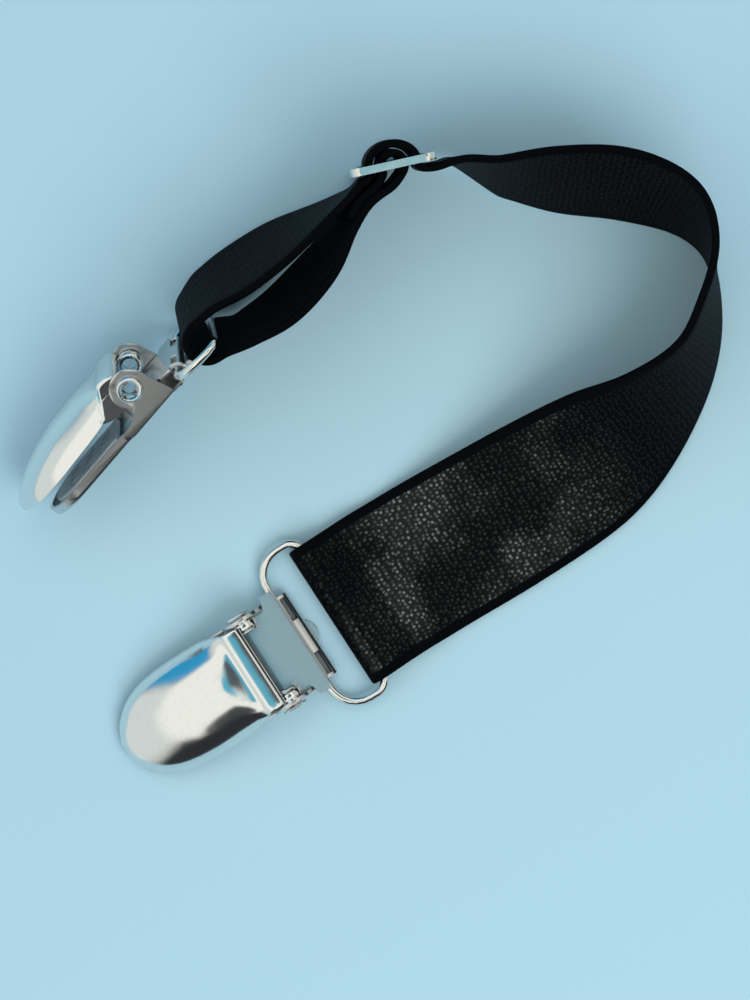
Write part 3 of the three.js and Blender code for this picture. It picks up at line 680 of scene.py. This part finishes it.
def elastic_material():
    cloth = Material("elastic_weave")
    weave_map = cloth.node("ShaderNodeUVMap")
    weave_map.uv_map = "weave"
    weave = weave_map.outputs["UV"]
    parts = cloth.node("ShaderNodeSeparateXYZ", Vector=weave)
    along = cloth.calc("MULTIPLY", parts.outputs["X"], 1 / MM)
    around = cloth.calc("MULTIPLY", parts.outputs["Y"], 1 / MM)
    across = cloth.calc("PINGPONG", around, FACE_WIDTH + EDGE_TURN)
    from_middle = cloth.calc("ABSOLUTE", cloth.calc("SUBTRACT", across, FACE_WIDTH / 2))
    band_start = FACE_WIDTH / 2 - EDGE_BAND
    band = cloth.remap(from_middle, band_start - EDGE_BAND_SOFT, band_start)
    face_only = cloth.calc("SUBTRACT", 1.0, band)
    crest, chance = crest_pattern(cloth, along, across)

    # Painted sheen and sparkle: crests coloured brighter in noise patches and in the listed stretches.
    sheen_patch_noise = cloth.noise(PATCH_SCALE, PATCH_DETAIL, weave)
    sheen_patch = cloth.remap(sheen_patch_noise, PATCH_LOW, PATCH_HIGH, PATCH_LEAST, 1.0)
    painted_sheen = cloth.calc("MULTIPLY", cloth.calc("MULTIPLY", sheen_patch, crest_highlight_zone(cloth, along)), face_only)
    speck = cloth.remap(cloth.noise(SPECK_SCALE, SPECK_DETAIL, weave), SPECK_LOW, SPECK_HIGH)
    glint = cloth.calc("MULTIPLY", cloth.calc("POWER", chance, GLINT_POWER), crest)
    lit = cloth.calc("MULTIPLY", crest, cloth.calc("MULTIPLY_ADD", speck, SPECK_LIGHT, CREST_LIGHT))
    bright = cloth.calc("MULTIPLY", cloth.calc("ADD", lit, glint), painted_sheen)
    # Painted shade: the hollows and the edge bands are darker than the crests.
    ground = cloth.mix(cloth.calc("MULTIPLY", face_only, crest), YARN_SHADED_HOLLOW, YARN_CREST)
    tone = cloth.mix(bright, cloth.mix(painted_sheen, ground, YARN_PAINTED_SHEEN), YARN_PAINTED_GLINT)

    rib = cloth.calc("SINE", cloth.calc("MULTIPLY", along, 2 * math.pi / RIB_PITCH))
    rib_height = cloth.calc("MULTIPLY_ADD", rib, 0.5, 0.5)
    height = cloth.calc("MULTIPLY", cloth.calc("ADD", rib_height, crest), face_only)
    fuzz = cloth.bump(cloth.noise(FUZZ_SCALE, FUZZ_DETAIL), FUZZ_DEPTH)
    normal = cloth.bump(height, RIB_DEPTH, under=fuzz)
    return cloth.finish(
        Base_Color=tone, Roughness=YARN_ROUGHNESS, Normal=normal, Specular_IOR_Level=YARN_SPECULAR,
        Sheen_Weight=YARN_SHEEN, Sheen_Roughness=YARN_SHEEN_ROUGHNESS, Sheen_Tint=YARN_SHEEN_TINT)


build_strap(elastic_material())


# Metal

WAVE_SCALE = 170.0
GRAIN_SCALE = 2400.0
GRAIN_DEPTH = 0.0012
GRAIN_STRENGTH = 0.6
WEAR_SCALE = 1500.0
WEAR_LOW = 0.56
WEAR_HIGH = 0.70
WORN_TINT = 0.35
WORN_ROUGHNESS = 0.3
METAL_DETAIL = 2.0


def plated_material(name, color, roughness, waviness, wear):
    """Plating with slow waves of that height in millimetres and a share of small dull specks."""
    metal = Material(name)
    specks = metal.remap(metal.noise(WEAR_SCALE, METAL_DETAIL), WEAR_LOW, WEAR_HIGH)
    worn = metal.calc("MULTIPLY", specks, wear)
    worn_color = tuple(channel * WORN_TINT for channel in color)
    tint = metal.mix(worn, color + (1,), worn_color + (1,))
    gloss = metal.remap(worn, 0.0, 1.0, roughness, roughness + WORN_ROUGHNESS, "LINEAR")
    wave = metal.bump(metal.noise(WAVE_SCALE, METAL_DETAIL), waviness)
    grain = metal.noise(GRAIN_SCALE, METAL_DETAIL)
    normal = metal.bump(grain, GRAIN_DEPTH, GRAIN_STRENGTH, wave)
    return metal.finish(Base_Color=tint, Metallic=1.0, Roughness=gloss, Normal=normal)


# Pads

PAD_SCALE = 1500.0
PAD_DETAIL = 3.0
PAD_DEPTH = 0.02
# The pad's pale blue-grey is partly its own tone and partly painted: a painted reflection of the sky and
# painted light lifting the shade between the jaws.
PAD_DARK = (0.52, 0.62, 0.68, 1)
PAD_LIGHT = (0.64, 0.74, 0.80, 1)
PAD_ROUGHNESS = 0.55


def pad_material():
    rubber = Material("pad_rubber")
    grain = rubber.noise(PAD_SCALE, PAD_DETAIL)
    # The grain's tones carry the pad's painted reflection and painted light.
    tint = rubber.mix(grain, PAD_DARK, PAD_LIGHT)
    return rubber.finish(Base_Color=tint, Roughness=PAD_ROUGHNESS, Normal=rubber.bump(grain, PAD_DEPTH))


# Pieces carried over from the solids

WELD_REACH = 0.002
EDGE_SEGMENTS = 2
EDGE_FROM_ANGLE = 35
SHEET_EDGE = 0.10
SLIDER_EDGE = 0.35
ROUND_PIECE = 0


def dress_node(name, material, edge):
    """A carried-over piece gets its material, smooth faces and softly broken edges."""
    node = NODES[name]
    for slot_entry in node.material_slots:
        slot_entry.link = "OBJECT"
        slot_entry.material = material
    if not node.material_slots:
        node.data.materials.append(material)
    node.data.polygons.foreach_set("use_smooth", [True] * len(node.data.polygons))
    weld = node.modifiers.new("weld", "WELD")
    weld.merge_threshold = WELD_REACH * MM
    if edge > 0:
        bevel = node.modifiers.new("broken_edges", "BEVEL")
        bevel.width = edge * MM
        bevel.segments = EDGE_SEGMENTS
        bevel.limit_method = "ANGLE"
        bevel.angle_limit = math.radians(EDGE_FROM_ANGLE)
    normals = node.modifiers.new("normals", "WEIGHTED_NORMAL")
    normals.keep_sharp = False


# Colour, roughness, height of the waves and share of worn specks.
POLISHED = plated_material("plated_metal_polished", (0.80, 0.82, 0.81), 0.13, 0.05, 0.06)
SATIN = plated_material("plated_metal_satin", (0.62, 0.64, 0.64), 0.26, 0.03, 0.0)
WIRE = plated_material("plated_wire", (0.84, 0.83, 0.79), 0.15, 0.02, 0.05)
STAMPED = plated_material("plated_metal_stamped", (0.78, 0.79, 0.76), 0.19, 0.07, 0.08)
PAD = pad_material()

for letter in ("a", "b"):
    dress_node("base_jaw_" + letter, SATIN, SHEET_EDGE)
    dress_node("shell_jaw_" + letter, POLISHED, SHEET_EDGE)
    dress_node("jaw_pad_" + letter, PAD, SHEET_EDGE)
    dress_node("ring_" + letter, WIRE, ROUND_PIECE)
    dress_node("eyelet_" + letter + "_1", POLISHED, ROUND_PIECE)
    dress_node("eyelet_" + letter + "_2", POLISHED, ROUND_PIECE)
dress_node("slider", STAMPED, SLIDER_EDGE)
